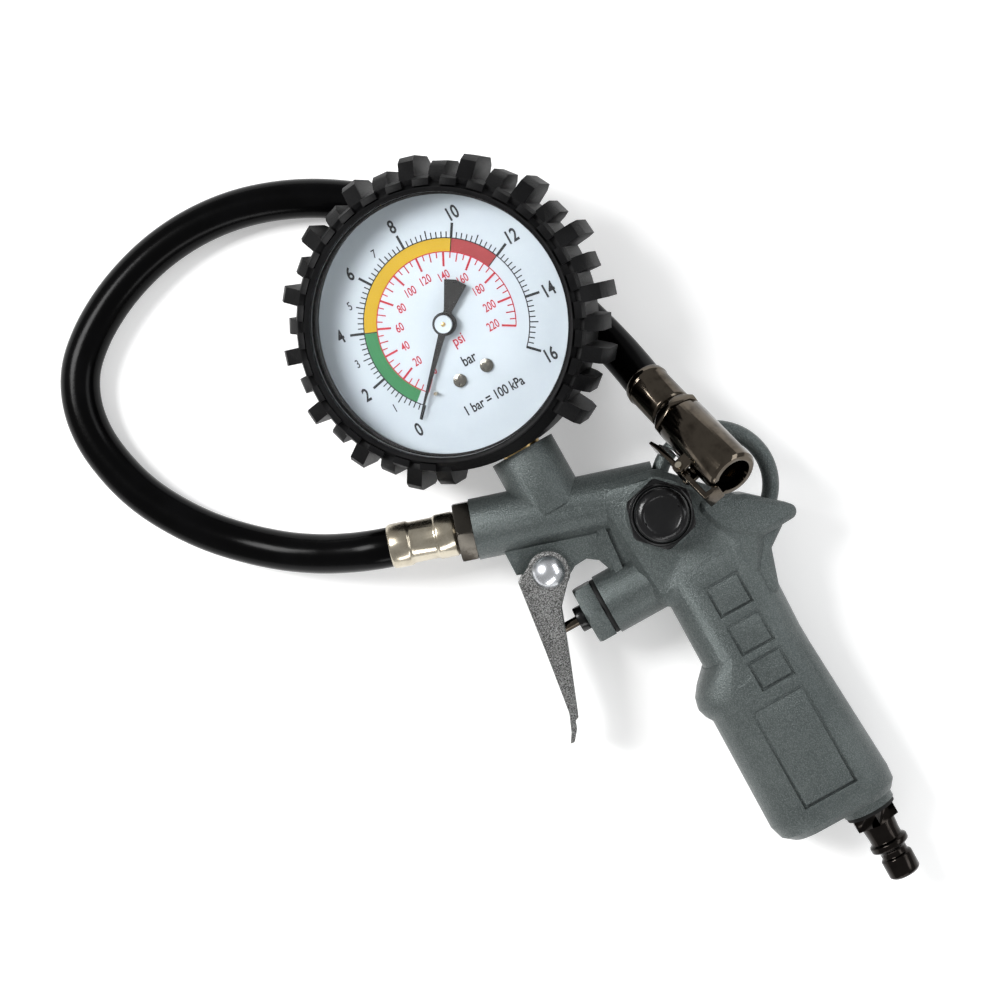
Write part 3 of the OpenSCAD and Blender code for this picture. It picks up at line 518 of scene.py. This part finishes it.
boot_rubber = matt_black("boot rubber", (0.0025, 0.0025, 0.0028), (0.006, 0.006, 0.0064), 0.55, 1.6, 0.11, 0.11)
black_plastic = matt_black("black plastic", (0.003, 0.003, 0.0033), (0.007, 0.007, 0.0075), 0.3, 2.0, 0.03, 0.3)
seal_rubber = matt_black("seal rubber", (0.007, 0.007, 0.007), (0.014, 0.014, 0.014), 0.66, 2.0, 0.05)
flat_black = matt_black("needle paint", (0.006, 0.006, 0.006), (0.01, 0.01, 0.01), 0.5, 2.4, 0.02)
boot = eased("boot", 0.5, boot_rubber, 2, 30)
release_button = eased("release_button", 0.5, black_plastic, 3)
release_nut = eased("release_nut", 0.5, black_plastic, 2)
valve_washer = eased("valve_washer", 0.3, seal_rubber)
valve_gland = eased("valve_gland", 0.3, black_plastic)
coat(seal_rubber, "chuck_seat", "inlet_seal", "gauge_gasket")
coat(flat_black, "needle")

# %% [markdown]
# The dial is a white enamelled disc with a cool tint, and the lens over it is clear glass.
# The glass casts no shadow, so that the lights reach the dial as they do through a real pane.

# %% Dial and lens
enamel = Finish("dial enamel", specular_ior_level=0.2)
enamel.set(
    base_color=enamel.mix((0.30, 0.345, 0.38), (0.345, 0.385, 0.415), enamel.noise(0.05, 3)),
    roughness=0.34 + 0.1 * enamel.noise(0.8, 3),
    normal=enamel.bump(enamel.noise(1.2, 2), 0.006, 0.4),
)
coat(enamel.material, "dial", "needle_cap")
glass = Finish("lens glass", base_color=(1.0, 1.0, 1.0), transmission_weight=1.0, ior=1.45)
glass.set(roughness=0.01 + 0.015 * glass.noise(0.1, 3))
coat(glass.material, "gauge_lens")
nodes["gauge_lens"].visible_shadow = False
print("finishes", len(bpy.data.materials))

# %% [markdown]
# The print is a thin layer on the dial. Letters start as text objects, which Blender turns into meshes,
# and their points are then carried to the dial as an array. Ticks and bands are boxes bent round the dial's centre.

# %% Print on the dial
DIAL_TOP = 5.0
INK = 0.04


def ink(name, colour):
    """Printing ink: one colour, a little uneven in gloss."""
    made = Finish(name, base_color=colour, specular_ior_level=0.12)
    made.set(roughness=0.4 + 0.15 * made.noise(0.9, 3))
    return made.material


black_ink = ink("black ink", (0.004, 0.005, 0.007))
red_ink = ink("red ink", (0.30, 0.012, 0.024))
band_inks = {
    "green": ink("green ink", (0.022, 0.125, 0.048)),
    "yellow": ink("yellow ink", (0.32, 0.205, 0.006)),
    "red": ink("band red ink", (0.20, 0.026, 0.028)),
}


def bar_angle(bar):
    """Direction of a pressure on the dial, in degrees: 225 at 0 bar, falling by 270 over 16 bar."""
    return 225 - 270 * bar / 16


def arc_box(r0, r1, from_angle, to_angle, steps, height=INK, base=DIAL_TOP):
    """Box bent round the centre: corners (r0 or r1, base or top) carried from one angle to the other."""
    a = np.radians(np.linspace(from_angle, to_angle, steps + 1))
    corners = np.array([[r0, base], [r1, base], [r1, base + height], [r0, base + height]])
    rings = np.stack([
        np.outer(np.cos(a), corners[:, 0]), np.outer(np.sin(a), corners[:, 0]), np.outer(np.ones(len(a)), corners[:, 1])
    ], -1)
    return rings.reshape(-1, 3), tube_faces(steps + 1, 4)


def tick(r0, r1, bar, width, height=INK):
    """Radial mark from r0 to r1, of one width in millimetres."""
    direction = math.radians(bar_angle(bar))
    out, side = np.array([math.cos(direction), math.sin(direction)]), np.array([-math.sin(direction), math.cos(direction)])
    flat = np.array([out * r + side * w * width / 2 for r, w in ((r0, -1), (r1, -1), (r1, 1), (r0, 1))])
    points = np.concatenate([np.c_[flat, np.full(4, z)] for z in (DIAL_TOP, DIAL_TOP + height)])
    return points, tube_faces(2, 4)


def lettering(words, x, y, height, squeeze=0.8, weight=0.0):
    """Text centred at x, y, with capitals of that height, as points and faces in the gauge's frame."""
    text = bpy.data.curves.new("letters", "FONT")
    text.body, text.align_x, text.align_y = words, "CENTER", "CENTER"
    text.size, text.extrude, text.offset, text.resolution_u = height / 0.7, INK / 2, weight, 4
    holder = bpy.data.objects.new("letters", text)
    bpy.context.scene.collection.objects.link(holder)
    bpy.context.view_layer.update()
    made = bpy.data.meshes.new_from_object(holder.evaluated_get(bpy.context.evaluated_depsgraph_get()))
    points = np.zeros(len(made.vertices) * 3)
    made.vertices.foreach_get("co", points)
    points = points.reshape(-1, 3)
    middle = (points.max(0) + points.min(0)) / 2
    points = (points - [middle[0], middle[1], 0]) * [squeeze, 1, 1] + [x, y, DIAL_TOP + INK / 2 + 0.002]
    faces = [list(f.vertices) for f in made.polygons]
    bpy.data.objects.remove(holder)
    bpy.data.curves.remove(text)
    bpy.data.meshes.remove(made)
    return points, faces


def around(radius, bar):
    """The point at that radius in a pressure's direction."""
    direction = math.radians(bar_angle(bar))
    return radius * math.cos(direction), radius * math.sin(direction)


def printed(name, parts, finish):
    points, faces = join_parts(parts)
    piece = mesh_piece(name, placed(points, GAUGE), faces, finish, "gun", smooth=20)
    print(name, len(piece.data.polygons), "faces")
    return piece


PSI = 0.0689476
black_marks = [arc_box(24.85, 25.15, bar_angle(0), bar_angle(16), 120, INK * 1.3)]
for k in range(81):
    bar = k / 5
    if k % 10 == 0:
        black_marks.append(tick(24.9, 29.4, bar, 0.75, INK * 1.3))
    elif k % 5 == 0:
        black_marks.append(tick(24.9, 27.6, bar, 0.36, INK * 1.3))
    else:
        black_marks.append(tick(24.9, 26.8, bar, 0.34, INK * 1.3))
for bar in range(0, 17, 2):
    black_marks.append(lettering(str(bar), *around(32.4, bar), 3.9, 0.72, 0.13))
for bar in (1, 3, 5, 7):
    black_marks.append(lettering(str(bar), *around(29.6, bar), 2.5, 0.74, 0.03))
black_marks.append(lettering("bar", 0.9, -12.2, 3.1, 0.76, 0.08))
black_marks.append(lettering("1 bar = 100 kPa", 2.2, -25.2, 2.9, 0.76, 0.08))
for limit in (4, 10, 12):
    black_marks.append(tick(21.0, 25.0, limit, 0.3, INK * 1.4))
printed("dial_scale_bar", black_marks, black_ink)

red_marks = [arc_box(20.8, 21.1, bar_angle(0), bar_angle(220 * PSI), 110, INK * 1.3)]
for psi in range(0, 221, 5):
    inner, width = (16.7, 0.62) if psi % 20 == 0 else (18.3, 0.36) if psi % 10 == 0 else (19.2, 0.34)
    red_marks.append(tick(inner, 21.0, psi * PSI, width, INK * 1.2))
for psi in range(0, 221, 20):
    red_marks.append(lettering(str(psi), *around(14.1, psi * PSI), 2.5, 0.7, 0.05))
red_marks.append(lettering("psi", 0.9, -6.3, 3.1, 0.76, 0.06))
printed("dial_scale_psi", red_marks, red_ink)

for colour, low, high in (("green", 0.35, 4), ("yellow", 4, 10), ("red", 10, 12)):
    printed(f"dial_band_{colour}", [arc_box(21.05, 24.95, bar_angle(low), bar_angle(high), 60)], band_inks[colour])

# %% [markdown]
# Two small screws hold the dial. Each head is a low dome with a cross recess pressed into it.
# The head is a polar grid of heights: the dome falls with the square of the radius, and the recess is cut where a point is near one of two lines.

# %% Dial screws and the rivet in the needle's hub
def in_gauge(node):
    """Lowest and highest corner of a node in the gauge's own frame, in millimetres."""
    points = np.zeros(len(nodes[node].data.vertices) * 3)
    nodes[node].data.vertices.foreach_get("co", points)
    points = (points.reshape(-1, 3) / MM - GAUGE[1]) @ GAUGE[0]
    return points.min(0), points.max(0)


def cross_head(radius, top, bottom, slot_turn, sides=96):
    """Dome z = top - 0.3 (r / R)^2, less 0.5 within 0.22 mm of either line of a cross, on a neck of 0.55 R."""
    r = np.concatenate([[0.55, 0.55, 1, 1], np.linspace(0.985, 0.02, 30)]) * radius
    a = np.arange(sides) * 2 * math.pi / sides
    x, y = np.outer(r, np.cos(a + slot_turn)), np.outer(r, np.sin(a + slot_turn))
    near = np.minimum(np.abs(x), np.abs(y))
    cut = np.clip((0.3 - near) / 0.12, 0, 1) * np.clip((0.72 * radius - r) / 0.15, 0, 1)[:, None]
    z = top - 0.3 * (r / radius)[:, None] ** 2 - 0.5 * cut
    z[:4] = np.array([bottom, DIAL_TOP, DIAL_TOP, top - 0.4])[:, None]
    points = np.stack([np.outer(r, np.cos(a)), np.outer(r, np.sin(a)), z], -1).reshape(-1, 3)
    return points, tube_faces(len(r), sides)


screw_steel = plating("screw plating", (0.26, 0.25, 0.22), (0.07, 0.06, 0.05), 0.16, 1.0)
for letter, slot_turn in (("a", 0.4), ("b", 1.1)):
    low_corner, high_corner = in_gauge(f"dial_screw_{letter}")
    middle = (low_corner + high_corner) / 2
    reach = (high_corner - low_corner)[0] / 2
    points, faces = cross_head(reach, high_corner[2], low_corner[2], slot_turn)
    screw = mesh_piece(
        f"dial_screw_{letter}_head", placed(points + [middle[0], middle[1], 0], GAUGE), faces, screw_steel, "gun"
    )
    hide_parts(f"dial_screw_{letter}")
    print("screw", letter, "at", middle.round(2).tolist(), "radius", round(float(reach), 2))

cap_low, cap_high = in_gauge("needle_cap")
bend = np.radians(np.linspace(0, 86, 9))
dome = turned(np.c_[0.75 * np.cos(bend), cap_high[2] - 0.05 + 0.25 * np.sin(bend)], 48)
mesh_piece("needle_rivet", placed(dome, GAUGE), tube_faces(len(bend), 48), brass, "needle")

# %% [markdown]
# The tool lies on a plain pale table under two large soft lights, with a little light from all round.

# %% Floor and light
floor_finish = Finish("table", roughness=0.7, emission_color=(1.0, 1.0, 1.0), emission_strength=0.3)
floor_finish.set(base_color=floor_finish.mix((0.86, 0.86, 0.86), (0.89, 0.89, 0.885), floor_finish.noise(0.01, 3)))
floor_mesh = bpy.data.meshes.new("floor")
floor_mesh.from_pydata([(-4, -4, 0), (4, -4, 0), (4, 4, 0), (-4, 4, 0)], [], [(0, 1, 2, 3)])
floor = bpy.data.objects.new("floor", floor_mesh)
floor_mesh.materials.append(floor_finish.material)
bpy.context.scene.collection.objects.link(floor)
floor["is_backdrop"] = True


def soft_light(name, place, aim, size, watts, tint=(1, 1, 1)):
    """Rectangular area light at place, facing aim."""
    light = bpy.data.lights.new(name, "AREA")
    light.shape, light.size, light.size_y, light.energy, light.color = "RECTANGLE", size[0], size[1], watts, tint
    holder = bpy.data.objects.new(name, light)
    bpy.context.scene.collection.objects.link(holder)
    back = np.array(place, float) - np.array(aim, float)
    back /= np.linalg.norm(back)
    side = np.cross([0, 1, 0.001], back)
    side /= np.linalg.norm(side)
    frame_of_light = np.eye(4)
    frame_of_light[:3, :3] = np.stack([side, np.cross(back, side), back], 1)
    frame_of_light[:3, 3] = place
    holder.matrix_world = Matrix(frame_of_light.tolist())
    return holder


soft_light("key", (-0.5, 0.55, 0.8), (0, 0.03, 0), (0.42, 0.34), 10.5)
soft_light("fill", (0.75, -0.1, 0.65), (0, 0, 0), (0.3, 0.9), 3.2, (0.96, 0.98, 1))
soft_light("rim", (-0.2, -0.8, 0.45), (0, 0, 0), (0.9, 0.2), 3)
bpy.context.scene.view_settings.view_transform = "Standard"
world = bpy.data.worlds.new("studio")
world.use_nodes = True
world.node_tree.nodes["Background"].inputs["Color"].default_value = (1, 1, 1, 1)
world.node_tree.nodes["Background"].inputs["Strength"].default_value = 0.4
bpy.context.scene.world = world

# %% [markdown]
# Last, the size of the finished model is printed.

low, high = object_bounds()
print("size", [round(1000 * (b - a), 1) for a, b in zip(low, high)], "mm")
